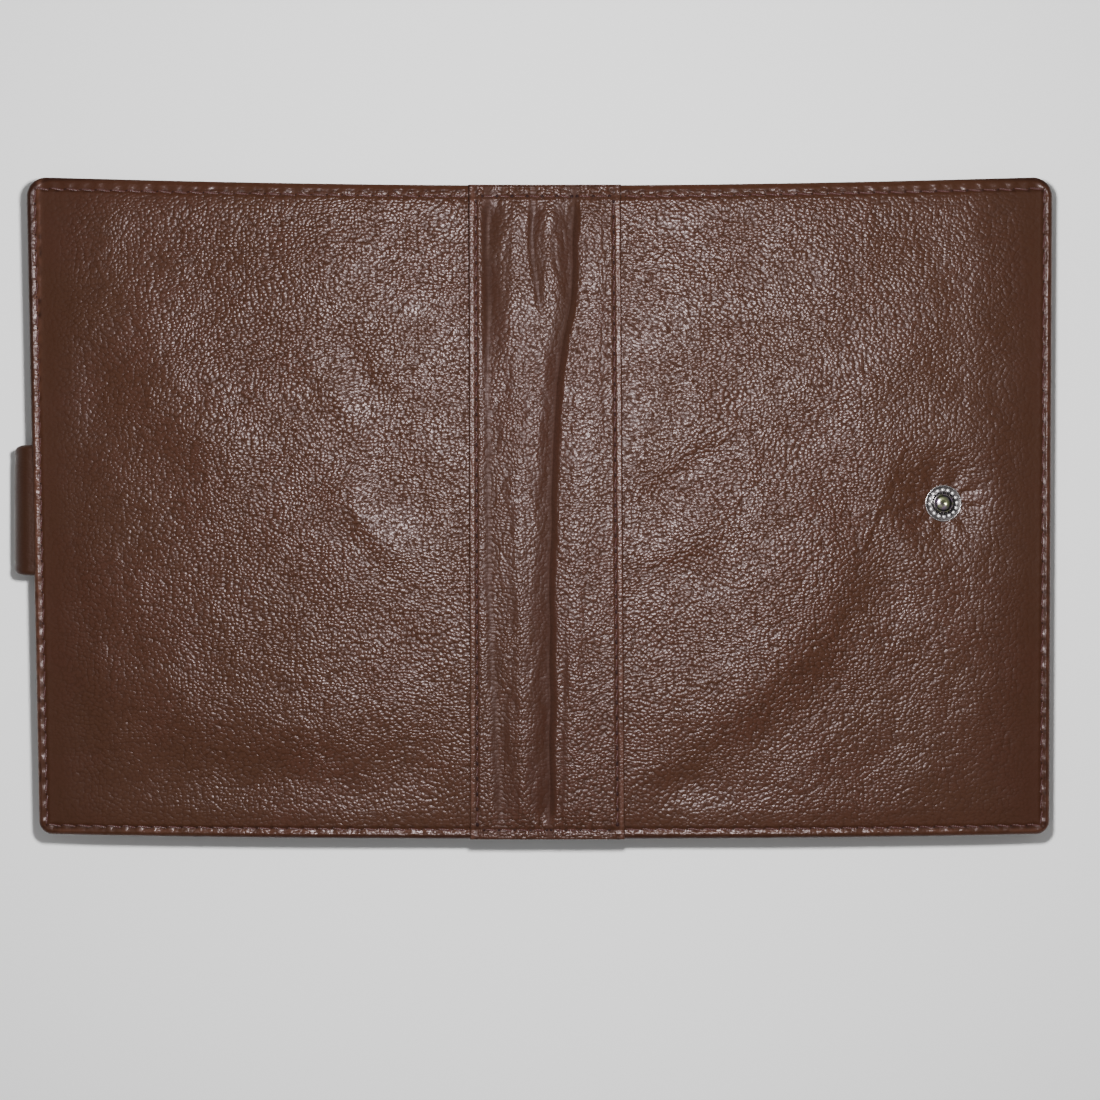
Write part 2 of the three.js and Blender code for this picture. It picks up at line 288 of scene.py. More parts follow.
def spread(total, pitch, both=True):
    """Places from 0 to total: close together at the start, and at the end too if both."""
    start = [s for s in EDGE_STEPS if s < total / 2]
    end = [total - s for s in reversed(start)] if both else [total]
    middle = end[0] - start[-1]
    count = max(1, round(middle / pitch))
    return np.array(start + [start[-1] + middle * k / count for k in range(1, count)] + end)


def tube(points, radii, sides=8):
    """Points and faces of a tube along points, closed at both ends."""
    points = np.asarray(points, float)
    tangent = np.gradient(points, axis=0)
    tangent /= np.linalg.norm(tangent, axis=1)[:, None]
    up = np.array([0.0, 0.0, 1.0])
    across = np.cross(tangent, up)
    across /= np.maximum(np.linalg.norm(across, axis=1), 1e-6)[:, None]
    over = np.cross(across, tangent)
    angle = np.arange(sides) * 2 * math.pi / sides
    ring = np.cos(angle)[None, :, None] * across[:, None, :] + np.sin(angle)[None, :, None] * over[:, None, :]
    body = (points[:, None, :] + ring * np.asarray(radii)[:, None, None]).reshape(-1, 3)
    return body, ring_faces(len(points), sides, capped=True)


def merged(parts):
    points, faces, count = [], [], 0
    for p, f in parts:
        points.append(p)
        faces += [[v + count for v in face] for face in f]
        count += len(p)
    return np.concatenate(points), faces


def turned(profile, centre, sides=96):
    """A body turned about an upright axis, from (radius, height) points that start and end on the axis."""
    angle = np.arange(sides) * 2 * math.pi / sides
    out, up = np.array(profile, float).T[:, :, None]
    x, y = centre[0] + out * np.cos(angle), centre[1] + out * np.sin(angle)
    return stacked(x, y, up + 0 * x), ring_faces(len(profile), sides)


# ---- Materials ----
def tinted(tone, red, green, blue):
    """A tone with its three parts scaled, as a colour for a socket."""
    return (tone[0] * red, tone[1] * green, tone[2] * blue, 1)


class Build:
    """Short ways to add shader nodes to one material."""

    def __init__(self, name):
        self.material = bpy.data.materials.new(name)
        self.material.use_nodes = True
        self.nodes = self.material.node_tree.nodes
        self.links = self.material.node_tree.links
        self.shader = self.nodes["Principled BSDF"]

    def node(self, kind, settings=None, **inputs):
        """A new node. An input goes by its name, or as _0, _1 and so on by its place."""
        made = self.nodes.new("ShaderNode" + kind)
        for key, value in (settings or {}).items():
            setattr(made, key, value)
        for key, value in inputs.items():
            self.put(made.inputs[int(key[1:]) if key[0] == "_" else key], value)
        return made

    def put(self, socket, value):
        if isinstance(value, bpy.types.NodeSocket):
            self.links.new(value, socket)
        else:
            socket.default_value = value

    def math(self, operation, a, b):
        return self.node("Math", {"operation": operation}, _0=a, _1=b).outputs[0]

    def times(self, a, b):
        return self.math("MULTIPLY", a, b)

    def vector(self, operation, **inputs):
        return self.node("VectorMath", {"operation": operation}, **inputs).outputs[0]

    def mix(self, factor, a, b):
        made = self.node("Mix", {"data_type": "RGBA"})
        self.put(made.inputs[0], factor)
        self.put(made.inputs[6], a)
        self.put(made.inputs[7], b)
        return made.outputs[2]

    def curve(self, value, low, high, to_low=0.0, to_high=1.0):
        smooth = {"interpolation_type": "SMOOTHSTEP"}
        return self.node("MapRange", smooth, _0=value, _1=low, _2=high, _3=to_low, _4=to_high).outputs[0]

    def place(self):
        """Where a point is at rest, in millimetres."""
        return self.node("Attribute", {"attribute_name": "rest"}).outputs["Vector"]

    def attribute(self, name):
        return self.node("Attribute", {"attribute_name": name}).outputs["Fac"]

    def noise(self, place, scale, detail=2.0, roughness=0.5, output="Fac"):
        made = self.node("TexNoise", None, Vector=place, Scale=scale, Detail=detail, Roughness=roughness)
        return made.outputs[output]

    def drift(self, place, scale, amount):
        """A smooth random shift, with bumps of 1/scale."""
        off = self.vector("SUBTRACT", _0=self.noise(place, scale, output="Color"), _1=(0.5, 0.5, 0.5))
        return self.vector("SCALE", _0=off, Scale=amount)

    def bands(self, place, direction, scale, distortion):
        settings = {"wave_type": "BANDS", "bands_direction": direction}
        return self.node("TexWave", settings, Vector=place, Scale=scale, Distortion=distortion).outputs["Fac"]

    def bump(self, height, distance):
        return self.node("Bump", None, Height=height, Distance=distance, Strength=1.0).outputs[0]

    def set(self, name, value):
        self.shader.inputs[name].default_value = value

    def surface(self, colour, roughness, normal):
        """The finished material, with its looks linked to the shader."""
        self.put(self.shader.inputs["Base Color"], colour)
        self.put(self.shader.inputs["Roughness"], roughness)
        self.put(self.shader.inputs["Normal"], normal)
        return self.material


SHINE = 0.155
GLINT = (1.0, 0.84, 0.86, 1)  # the waxed surface reflects a little pink
PEBBLE_STRETCH = (0.95, 1.15, 1.0)
PEBBLE_DEPTH = 0.000088
# The creases between pebbles: darker, partly the grain's own colour and partly painted shade.
CREASE_TINT = (0.76, 0.72, 0.70)
# The tone of painted shade.
PAINTED_SHADE_TINT = (0.36, 0.29, 0.29)
# Painted highlight with some wear: a lighter, pinker tone.
HIGHLIGHT_AND_WEAR_TINT = (1.75, 1.75, 2.0)


def leather(name, tone, grain=1.0, gloss=0.235, painted=True, depth=1.0, crack=1.0):
    """Waxed leather with round pebbles about a millimetre across and darker creases between them, partly the
    grain's own colour and partly painted shade.
    """
    b = Build(name)
    place = b.place()
    bent = b.vector("ADD", _0=place, _1=b.drift(place, 0.06, 4.0))
    bent = b.vector("ADD", _0=bent, _1=b.drift(place, 0.7, 0.35))
    stretched = b.node("Mapping", None, Vector=bent, Scale=PEBBLE_STRETCH).outputs[0]
    smooth = {"feature": "SMOOTH_F1"}
    cells = b.node("TexVoronoi", smooth, Vector=stretched, Scale=grain, Smoothness=0.14, Randomness=0.85)
    small = b.node("TexVoronoi", {"feature": "F1"}, Vector=bent, Scale=2.1 * grain, Randomness=1.0)
    d, e = cells.outputs["Distance"], small.outputs["Distance"]
    pebble = b.math("SUBTRACT", 1.0, b.times(b.times(d, d), 2.2))
    pebble = b.math("SUBTRACT", pebble, b.times(b.times(e, e), 0.3))
    patchy = b.noise(place, 0.12, 3.0, 0.6)
    height = b.times(pebble, b.curve(patchy, 0.3, 0.7, 0.75, 1.1))
    height = b.math("ADD", height, b.noise(place, 0.45, 1.0))
    cloudy = b.curve(b.noise(place, 0.05, 3.0, 0.6), 0.35, 0.65)
    colour = b.mix(cloudy, tinted(tone, 1, 1, 1), tinted(tone, 1.05, 0.98, 1.05))
    crease = b.curve(pebble, 0.0, 0.62, crack, 0.0)
    if painted:
        height = b.times(height, b.attribute("grain"))
        crease = b.times(crease, b.attribute("grain"))
    colour = b.mix(crease, colour, tinted(tone, *CREASE_TINT))
    matte = b.times(crease, 0.08)
    if painted:
        matte = b.math("ADD", matte, b.times(b.attribute("shade"), 0.2))
        matte = b.math("ADD", matte, b.attribute("matte"))
        # Painted shade darkens the colour here, and painted highlights with some wear lighten it.
        colour = b.mix(b.attribute("shade"), colour, tinted(tone, *PAINTED_SHADE_TINT))
        colour = b.mix(b.attribute("wear"), colour, tinted(tone, *HIGHLIGHT_AND_WEAR_TINT))
    rough = b.math("ADD", b.curve(patchy, 0.25, 0.75, gloss - 0.03, gloss + 0.04), matte)
    b.set("Specular IOR Level", SHINE)
    b.set("Specular Tint", GLINT)
    return b.surface(colour, rough, b.bump(height, PEBBLE_DEPTH / grain * depth))


def thread_material():
    b = Build("waxed_thread")
    place = b.place()
    twist = b.bands(place, "DIAGONAL", 1.5, 1.0)
    colour = b.mix(twist, (0.038, 0.0100, 0.0095, 1), (0.085, 0.027, 0.024, 1))
    colour = b.mix(b.curve(b.noise(place, 0.4), 0.4, 0.7), colour, (0.058, 0.019, 0.017, 1))
    return b.surface(colour, b.curve(twist, 0.0, 1.0, 0.5, 0.3), b.bump(twist, 0.00006))


def cloth_material(name, tone, weave=2.2):
    """Plain weave, with threads along both edges of the sheet."""
    b = Build(name)
    place = b.place()
    height = b.times(b.bands(place, "X", weave / 3.0, 0.6), b.bands(place, "Y", weave / 3.0, 0.6))
    colour = b.mix(height, tinted(tone, 0.55, 0.55, 0.55), tinted(tone, 1.2, 1.2, 1.2))
    stained = b.curve(b.noise(place, 0.2, 4.0), 0.4, 0.7, 0.0, 0.4)
    colour = b.mix(stained, colour, tinted(tone, 0.7, 0.7, 0.72))
    b.set("Sheen Weight", 0.15)
    return b.surface(colour, b.curve(height, 0.0, 1.0, 0.95, 0.78), b.bump(height, 0.00008))


def metal_material(name, tone, second, rough, from_cad=False):
    """Plated metal: two tones in cloudy patches, and fine scratches. A CAD mesh has no attribute rest."""
    b = Build(name)
    place = b.node("NewGeometry").outputs["Position"] if from_cad else b.place()
    scale = 1 / MM if from_cad else 1.0
    scratch = b.noise(place, 5.0 * scale, 4.0, 0.7)
    cloudy = b.curve(b.noise(place, 0.7 * scale, 3.0), 0.4, 0.6)
    b.set("Metallic", 1.0)
    rough = b.curve(scratch, 0.3, 0.7, rough, rough + 0.08)
    return b.surface(b.mix(cloudy, (*tone, 1), (*second, 1)), rough, b.bump(scratch, 0.000006))


BROWN = (0.0460, 0.0194, 0.0108)
OUTER = leather("pebbled_leather", BROWN, grain=1.25)
STRIP = leather("pebbled_leather_strip", (0.0465, 0.0202, 0.0120), grain=1.3, gloss=0.25)
INNER = leather("smooth_inner_leather", (0.060, 0.030, 0.021), grain=1.5, gloss=0.5, painted=False, depth=0.6)
# The tab is the covers' leather in a darker tone: painted shade.
TAB_BROWN = (0.034, 0.0150, 0.0085)
TAB = leather("tab_leather", TAB_BROWN, grain=1.6, gloss=0.40, painted=False, depth=0.3, crack=0.25)
THREAD = thread_material()
# Dark beads in the stitch holes: painted shade.
HOLE_SHADE = leather("stitch_hole_painted_shade", (0.017, 0.0052, 0.0048), gloss=0.6, painted=False, depth=0.3)
LINING = cloth_material("woven_lining", (0.045, 0.030, 0.022))
BOARD = cloth_material("pressed_board", (0.26, 0.22, 0.17), 1.2)
# The stud's rim: the same nickel in a darker grey, painted shade.
NICKEL_RIM_PAINTED_SHADE = metal_material("nickel_rim_painted_shade", (0.36, 0.34, 0.35), (0.26, 0.24, 0.24), 0.2)
NICKEL = metal_material("polished_nickel", (0.66, 0.63, 0.63), (0.52, 0.49, 0.48), 0.22)
# The stud's beads: the same nickel made near white, a painted highlight.
NICKEL_PAINTED_HIGHLIGHT = metal_material("nickel_painted_highlight", (0.92, 0.89, 0.90), (0.84, 0.81, 0.82), 0.42)
# The stud's plate: the same nickel made near black, painted shade.
NICKEL_PAINTED_SHADE = metal_material("nickel_painted_shade", (0.10, 0.09, 0.09), (0.06, 0.055, 0.055), 0.16)
# The stud's knob: the same nickel tinted purple and olive, a painted reflection.
NICKEL_PAINTED_REFLECTION = metal_material("nickel_painted_reflection", (0.22, 0.16, 0.23), (0.15, 0.16, 0.09), 0.14)
NICKEL_CAD = metal_material("plain_nickel", (0.60, 0.58, 0.56), (0.48, 0.46, 0.44), 0.2, from_cad=True)


# ---- The strip's edges, which the covers' relief runs down to ----
STRIP_LEFT = STRIP_LOW[0] + 0.8
STRIP_RIGHT_TOP = STRIP_HIGH[0] + 0.25
STRIP_RIGHT_BOTTOM = STRIP_HIGH[0] + 1.3
LAP_SEAM = 1.65  # the seam's distance from the strip's turned edge


def strip_right(y):
    return STRIP_RIGHT_TOP + (STRIP_RIGHT_BOTTOM - STRIP_RIGHT_TOP) * (1 - y / HALF) / 2


def strip_edge(side, y):
    return strip_right(y) if side > 0 else STRIP_LEFT


# ---- Covers ----
TOP_CORNER, BOTTOM_CORNER = 4.5, 3.0
ROLL = 1.1  # the radius of the turned edge
SIDE_SEAM, TOP_SEAM, BOTTOM_SEAM = 1.9, 2.6, 2.1  # from the seam to the edge
TOP_ROW, BOTTOM_ROW = HALF - TOP_SEAM, -HALF + BOTTOM_SEAM  # the y of those two seams
TOP_HEM_FALL = 0.35  # outside its seam the top hem goes on falling, by this part of the seam's depth a mm
HEM_RISE, BACK_HEM_RISE = 0.85, 1.1  # outside the other seams the leather is up again after this


def edge_distance(x, y):
    """From the outline's free edges, where x runs out from the spine."""
    dx, top, bottom = EDGE - x, HALF - y, HALF + y
    d = np.minimum(np.minimum(dx, top), bottom)
    for radius, edge in ((TOP_CORNER, top), (BOTTOM_CORNER, bottom)):
        inside = (dx < radius) & (edge < radius)
        d = np.where(inside, radius - np.hypot(radius - dx, radius - edge), d)
    return np.maximum(d, 0)


def seam_offset(x, y):
    """Distance across the seam, positive inside it, and the place along it."""
    side, top, bottom = EDGE - x - SIDE_SEAM, HALF - y - TOP_SEAM, HALF + y - BOTTOM_SEAM
    t = np.minimum(np.minimum(side, top), bottom)
    return t, np.where(side <= np.minimum(top, bottom), y, x)


def pressed(along_seam):
    """A wave along a seam, from 0 to 1, with one crest a pitch."""
    return 0.5 + 0.5 * np.cos(2 * math.pi * along_seam / PITCH)


def near_hole(along_seam):
    """1 at one place a pitch and close to 0 between them."""
    return bell(((along_seam / PITCH) % 1 - 0.5) * PITCH, 0.5)


def groove(t, at_top, rise, edge, width):
    """The line pressed in by a seam at t = 0. Outside it a top hem falls on, and any other rises again."""
    outside = np.clip(np.where(at_top, 1.0 - TOP_HEM_FALL * t, 1 + t / rise), 0, 2)
    return np.where(t > 0, bell(t, width), outside * ramp(edge, -0.1, 0.6))


# Folds and slopes in each cover's leather: what it is, its line, its half width and its height.
FRONT_RELIEF = [
    (fold, [(20, 0), (33, 7), (47, 16)], 3.6, -0.42),
    (fold, [(21, -11), (31, -8), (42, -1)], 4.2, 0.42),
    (fold, [(21, -4), (27, -6), (33, -9)], 1.3, -0.12),
    (step, [(22, -66), (33, -57), (46, -49), (57, -39), (66, -27), (72, -12)], 4.5, 1.05),
    (fold, [(60, 10), (75, -8), (82, -26)], 6, -0.22),
    (fold, [(28, 60), (38, 30), (36, 12)], 11, 0.45),
]
BACK_RELIEF = [
    (step, [(-104, -44), (-72, -52), (-42, -54), (-17, -48)], 6.0, 0.95),
    (fold, [(-52, 36), (-46, 27), (-38, 18)], 3.0, 0.30),
    (fold, [(-44, 42), (-38, 30), (-32, 22)], 2.6, -0.26),
    (fold, [(-43, 4), (-35, -6), (-27, -13)], 3.2, 0.32),
    (fold, [(-36, 10), (-28, 0), (-22, -4)], 3.0, -0.22),
    (fold, [(-97, 40), (-96, 26), (-94, 12)], 5.0, -0.35),
    (fold, [(-84, 34), (-70, 12), (-62, -4)], 9, 0.30),
]
# Waves in the covers' leather: height, length in x, length in y, and the noise's seed.
COVER_WAVES = [(0.26, 31, 27, 5), (0.13, 13, 12, 6), (0.045, 4.5, 4.0, 7), (0.02, 1.9, 1.9, 8)]
STUD_DIP = 0.06  # how far below the cover's top the leather lies round the stud
STUD_FLAT = 4.3  # the radius inside which it stays that low
PUCKERS = 9  # round the stud
UNDER_LIMIT = 0.45  # how far the leather may rise above the cover's top where the strip begins


def cover_height(side, x, y):
    """The outer leather's height over the square outline, where x runs out from the spine."""
    d = edge_distance(x, y)
    z = COVER_TOP - quarter_round(d, ROLL)
    px, py = shaped(SPINE_X + side * x, y)
    relief = 0
    for shape, line, width, height in FRONT_RELIEF if side > 0 else BACK_RELIEF:
        relief += shape(line, px, py, width, height)
    for height, long_x, long_y, seed in COVER_WAVES:
        relief += height * noise(px / long_x, py / long_y, seed)
    from_strip = side * (px - strip_edge(side, py))
    dx = EDGE - x
    z += relief * ramp(d, 2.2, 14) * (0.35 + 0.65 * ramp(from_strip, 0, 10))
    z = z + 0.12 * ramp(d, 2.2, 6.5) + 0.18 * ramp(dx, 2.0, 9.0)
    z += 0.50 * ramp(dx, 3.0, 18.0) * ramp(from_strip, 0, 40)
    t, s = seam_offset(x, y)
    pull = pressed(s)
    at_top = HALF - y < np.minimum(dx, HALF + y)
    rise = HEM_RISE if side > 0 else BACK_HEM_RISE
    z -= (0.20 + 0.10 * pull) * groove(t, at_top, rise, d, 0.40)
    z -= 0.05 * pull * bell(t, 1.6) * ramp(d, 0.3, 1.2)
    gather = 0.08 * noise(s / 2.3, t / 2.3, 9) + 0.06 * noise(s / 0.9, t / 0.9, 10)
    z += gather * (1 - ramp(t, 0, 1)) * ramp(d, 0.1, 0.8)
    if side > 0:
        r = np.hypot(px - STUD[0], py - STUD[1])
        angle = np.arctan2(py - STUD[1], px - STUD[0])
        spokes = np.sin(angle * PUCKERS + 1.3 * np.sin(angle * 2)) * bell(r - 6.0, 2.6)
        level = COVER_TOP - STUD_DIP
        z = level + (z - level) * ramp(r, 3.2, 15) + 0.10 * spokes
        z = np.where(r < STUD_FLAT, np.minimum(z, level), z)
    return np.where(from_strip < 0.3, np.minimum(z, COVER_TOP + UNDER_LIMIT), z)


# The turned edge's section, as (distance in from the edge, height): down the wall, in along the hem's
# underside, back out over its top and up under the leather.
WALL = [(0, 7.7), (0, 6.9), (0.1, 6.4), (0.32, 6.17), (0.7, 6.1), (7, 6.1), (7, 7.03), (1, 7.03), (1, 8.0)]
UNDERSIDE = 8.0  # of the outer leather, where no hem is turned under
HEM_TOP = 7.0
TAB_SLOT = 14.6  # half the length of the gap in the hem that the tab comes out of


def cover(name, node, body):
    """One cover's outer leather: domed and folded on top, its edges turned down and under."""
    side = SIDE[body]
    out = EDGE - spread(EDGE - UNDER_STRIP, 0.52, both=False)
    rows = spread(2 * HALF, 0.55) - HALF
    x, y = np.meshgrid(out, rows, indexing="ij")
    cut = np.maximum(quarter_round(HALF - y, TOP_CORNER), quarter_round(HALF + y, BOTTOM_CORNER))
    reach = EDGE - cut - UNDER_STRIP
    x = UNDER_STRIP + (x - UNDER_STRIP) * reach / (EDGE - UNDER_STRIP)
    z = cover_height(side, x, y)
    px, py = shaped(SPINE_X + side * x, y)
    top = stacked(px, py, z)

    loop = rim(len(out), len(rows))
    bx, by = x.ravel()[loop], y.ravel()[loop]
    at_spine = bx < UNDER_STRIP + 1e-6
    rings = []
    for inset, level in WALL:
        radius = np.where(by > 0, TOP_CORNER, BOTTOM_CORNER)
        hold = np.maximum(radius, inset)
        cx, cy = np.minimum(bx, EDGE - hold), np.clip(by, -HALF + hold, HALF - hold)
        length = np.hypot(bx - cx, by - cy)
        away = np.maximum(radius - inset, 0) / np.maximum(length, 1e-9)
        rx, ry = cx + (bx - cx) * away, cy + (by - cy) * away
        rx = np.where(at_spine, UNDER_STRIP, rx)
        ry = np.where(at_spine, np.clip(by, inset - HALF, HALF - inset), ry)
        z = np.where(at_spine, max(level, UNDERSIDE), level)
        if side < 0:
            slot = (bx > EDGE - 1) & (np.abs(by - (PLY_LOW[1] + PLY_HIGH[1]) / 2) < TAB_SLOT)
            z = np.where(slot, np.maximum(z, HEM_TOP), z)
        rx, ry = shaped(SPINE_X + side * rx, ry)
        rings.append(stacked(rx, ry, z))
    points, faces = shell(len(out), len(rows), top, rings)
    obj = make(name, points, faces, OUTER)
    finish_leather(obj, side)
    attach(obj, body)
    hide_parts(node)


HEM_UNDER = 7.5  # leather below this height is turned under


def finish_leather(obj, side):
    """Paints where a cover is darker with painted shade, along its seam and its turned edge, where it is
    lighter with painted highlights and wear, and where it is smooth.
    """
    p = rest_points(obj)
    x, y = np.abs(p[:, 0] - SPINE_X), p[:, 1]
    d = edge_distance(x, y)
    dx = EDGE - x
    t, s = seam_offset(x, y)
    # Painted shade: darker in the seam's groove and round its holes, at the turned edge, on the hem turned
    # under and towards the free sides.
    shade = 0.8 * bell(t, 0.32) * (0.25 + 0.75 * near_hole(s)) + 0.6 * (1 - ramp(d, 0.0, 0.6))
    shade += 0.25 * (p[:, 2] < HEM_UNDER)
    shade += 0.16 * (1 - ramp(dx, 4.0, 24.0))
    patches = ramp(noise(p[:, 0] / 3, p[:, 1] / 3, 21), -0.4, 0.6)
    # Painted highlight with some wear: lighter along the turned edge, though not at the top, and along the
    # back cover's free side.
    wear = 0.6 * bell(d - 1.3, 0.4) * patches * (HALF - y > 3)
    if side < 0:
        patches = ramp(noise(p[:, 0] / 1.2, p[:, 1] / 1.6, 22), -0.8, 0.5)
        wear = np.maximum(wear, bell(dx - 1.4, 0.75) * patches)
    hem = np.where(HALF - y < 4, 0.5, 0.9)
    grain = np.where(t < 0, hem, 0.42 + 0.58 * ramp(dx, 3.0, 12.0))
    grain = grain * (0.62 + 0.38 * ramp(dx, 4, 52)) * (0.75 + 0.25 * ramp(d, 2, 8))
    grain *= 0.78 + 0.22 * ramp(HALF + y, 4, 46)
    paint(obj, shade=shade, wear=wear, grain=grain, matte=np.zeros(len(p)))


cover("front_cover_leather", "front_outer_leather", "front_cover")
cover("back_cover_leather", "back_outer_leather", "back_cover")


# ---- Spine strip ----
# Each fold is a line of (y, x) points from the top down, its half widths to the left and to the right, its
# height (a valley's is below zero), and the y where it begins to show and the y where it shows in full.
LEFT_VALLEY = [(74, -10.4), (58, -10.6), (40, -10.2), (22, -10.0)]
LEFT_VALLEY += [(0, -9.8), (-30, -9.0), (-60, -7.6), (-74, -7.2)]
LEFT_RIDGE = [(74, -3.4), (50, -4.0), (20, -3.6), (-20, -3.0), (-60, -2.6), (-74, -2.4)]
DEEPEST = [(74, 8.9), (64, 8.9), (54, 8.7), (46, 8.1), (38, 6.6)]
DEEPEST += [(28, 5.0), (14, 4.2), (-20, 3.7), (-74, 3.5)]
RIGHT_RIDGE = [(74, 12.4), (50, 12.6), (30, 11.4), (0, 9.4), (-40, 8.8), (-74, 8.8)]
STRIP_FOLDS = [
    (LEFT_VALLEY, 1.6, 2.8, -0.30, None),
    ([(74, -10.2), (60, -10.2), (48, -10.0), (36, -9.8)], 1.5, 3.4, -0.52, (26, 50)),
    (LEFT_RIDGE, 2.2, 2.2, 0.34, None),
    (DEEPEST, 3.2, 1.15, -0.82, None),
    ([(74, 0.2), (64, -0.4), (56, -0.2), (48, 0.7), (40, 2.6)], 0.5, 1.5, -0.36, (38, 50)),
    ([(74, 3.4), (60, 3.4), (50, 3.4)], 1.7, 1.7, 0.32, (44, 54)),
    (RIGHT_RIDGE, 3.4, 4.0, 0.28, None),
    ([(-10, 7.2), (-40, 6.4), (-74, 5.6)], 1.4, 1.2, -0.11, (-10, -32)),
]
VALLEY_SHARPNESS = 7  # how abruptly a valley's straight banks meet the flat
LOWEST = 0.12  # how near the strip's top may come to the covers'
ROUNDED = 0.32  # the radius of the strip's edges


def fold_centre(line, y):
    ys, xs = [p[0] for p in line][::-1], [p[1] for p in line][::-1]
    return np.interp(y, ys, xs) + 0.30 * noise(np.zeros(np.shape(y)) + 3.3, y / 11, 31)


def strip_shape(x, y):
    """The spine strip's top, in the place where it lies, and how deep in a crease each point is."""
    z = np.full(np.shape(x), STRIP_TOP)
    crease = np.zeros(np.shape(x))
    uneven = 1 + 0.22 * noise(np.zeros(np.shape(y)) + 7.1, y / 9, 32)
    for line, wide_left, wide_right, height, fade in STRIP_FOLDS:
        centre = fold_centre(line, y)
        off = np.abs(x - centre) / (np.where(x < centre, wide_left, wide_right) * uneven)
        show = ramp(y, *fade) if fade else 1.0
        if height > 0:
            z += height * bell(off, 1.0) * show
        else:
            z += height * np.logaddexp(0, VALLEY_SHARPNESS * (1 - off)) / VALLEY_SHARPNESS * show
            crease += bell(x - centre, 0.6) * np.clip(-2.2 * height - 0.3, 0, 1) * show
    z = z + 0.07 * noise(x / 2.6, y / 9, 33) + 0.03 * noise(x / 1.2, y / 3, 34)
    edge = np.minimum(x - STRIP_LEFT, strip_right(y) - x)
    z = STRIP_TOP + (z - STRIP_TOP) * ramp(edge, 2.0, 4.6)
    z -= (0.16 + 0.14 * pressed(y)) * bell(edge - LAP_SEAM, 0.30)
    end = HALF - np.abs(y)
    t = end - np.where(y > 0, TOP_SEAM, BOTTOM_SEAM)
    z += (STRIP_TOP - 0.1 - z) * (1 - ramp(end, 1.6, 7.5)) * 0.85
    gather = noise(x / 0.75 + 1.2 * noise(x / 3, y / 4, 36), y / 6 + 4.0, 35)
    z += 0.13 * gather * bell(t - 0.6, 2.4) * ramp(edge, 1.0, 2.0)
    z -= (0.18 + 0.12 * pressed(x)) * groove(t, y > 0, HEM_RISE, end, 0.42)
    z = z - quarter_round(edge, ROUNDED) - quarter_round(end, ROUNDED)
    return np.maximum(z, COVER_TOP + LOWEST), np.clip(crease, 0, 1) * ramp(edge, 1.9, 2.6)


def strip_height(x, y):
    return strip_shape(x, y)[0]


def middle(y):
    """The strip's two halves meet in its deepest valley."""
    return fold_centre(DEEPEST, y)


def bend_across(obj):
    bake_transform(obj)


CLEARANCE = 0.03  # between the covers and the strip's underside
SLOPE_STEP = 0.35  # to each side of a point, for the slope there


def strip_half(name, nodes, body):
    """Half of the strip, from the valley down its middle to one of its turned edges."""
    side = SIDE[body]
    rows = spread(2 * HALF, 0.5) - HALF
    width = side * (strip_edge(side, -HALF) - middle(0.0))
    steps = spread(float(width), 0.40)
    d, y = np.meshgrid(steps, rows, indexing="ij")
    centre = middle(y)
    reach = side * (strip_edge(side, y) - centre)
    x = centre + side * (1 - d / width) * reach
    z = strip_height(x, y)
    px, py = shaped(x, y)
    top = stacked(px, py, z)
    loop = rim(len(steps), len(rows))
    border = top[loop]
    low, half_way = border.copy(), border.copy()
    low[:, 2] = COVER_TOP + CLEARANCE
    half_way[:, 2] = np.maximum(COVER_TOP + CLEARANCE, border[:, 2] - 0.25)
    points, faces = shell(len(steps), len(rows), top, [half_way, low])
    obj = make(name, points, faces, STRIP)
    p = rest_points(obj)
    edge = np.minimum(p[:, 0] - STRIP_LEFT, strip_right(p[:, 1]) - p[:, 0])
    # Painted shade: dark round the seam's holes and along the turned edge, and below, in the valleys' creases
    # and on the steeper slopes.
    shade = 0.85 * bell(edge - LAP_SEAM, 0.3) * (0.15 + 0.85 * near_hole(p[:, 1]))
    shade += 0.9 * (1 - ramp(edge, 0.02, 0.28))
    x, y = p[:, 0], p[:, 1] / TALL
    crease = strip_shape(x, y)[1]
    rise = np.abs(strip_height(x + SLOPE_STEP, y) - strip_height(x - SLOPE_STEP, y))
    slope = ramp(rise / (2 * SLOPE_STEP), 0.05, 0.21) * ramp(edge, 2.2, 3.4)
    slope *= ramp(HALF - np.abs(y), 4.0, 8.0)
    shade = shade + 0.14 * crease + 0.28 * slope
    # Painted highlight with some wear along the strip's turned edge.
    wear = 0.7 * bell(edge - 0.8, 0.4) * ramp(noise(p[:, 0], p[:, 1] / 6, 41), -0.5, 0.4)
    grain = (1 - 0.56 * np.maximum(slope, crease)) * (0.6 + 0.4 * ramp(edge, 0.8, 3.0))
    paint(obj, shade=shade, wear=wear, grain=grain, matte=0.34 * crease)
    bend_across(obj)
    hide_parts(*nodes)


strip_half("spine_strip_front_half", ["spine_strip", "strip_lap_front"], "front_cover")
strip_half("spine_strip_back_half", ["strip_lap_back"], "back_cover")


# ---- Stitches ----
SINK = 0.16  # how deep a stitch's ends go into its holes


def stitch(a, b, surface, radius=0.22):
    """One stitch from hole a to hole b, which lies on the surface and dives into it at both ends."""
    a, b = np.array(a, float), np.array(b, float)
    t = np.array([0.0, 0.06, 0.16, 0.34, 0.5, 0.66, 0.84, 0.94, 1.0])
    flat = a[None, :] + (b - a)[None, :] * t[:, None]
    lift = np.sin(math.pi * t) ** 0.55
    z = surface(flat[:, 0], flat[:, 1]) - SINK + SINK * lift
    radii = radius * (0.55 + 0.45 * np.sin(math.pi * np.clip(t, 0.05, 0.95)) ** 0.5)
    return tube(np.column_stack([flat, z]), radii)


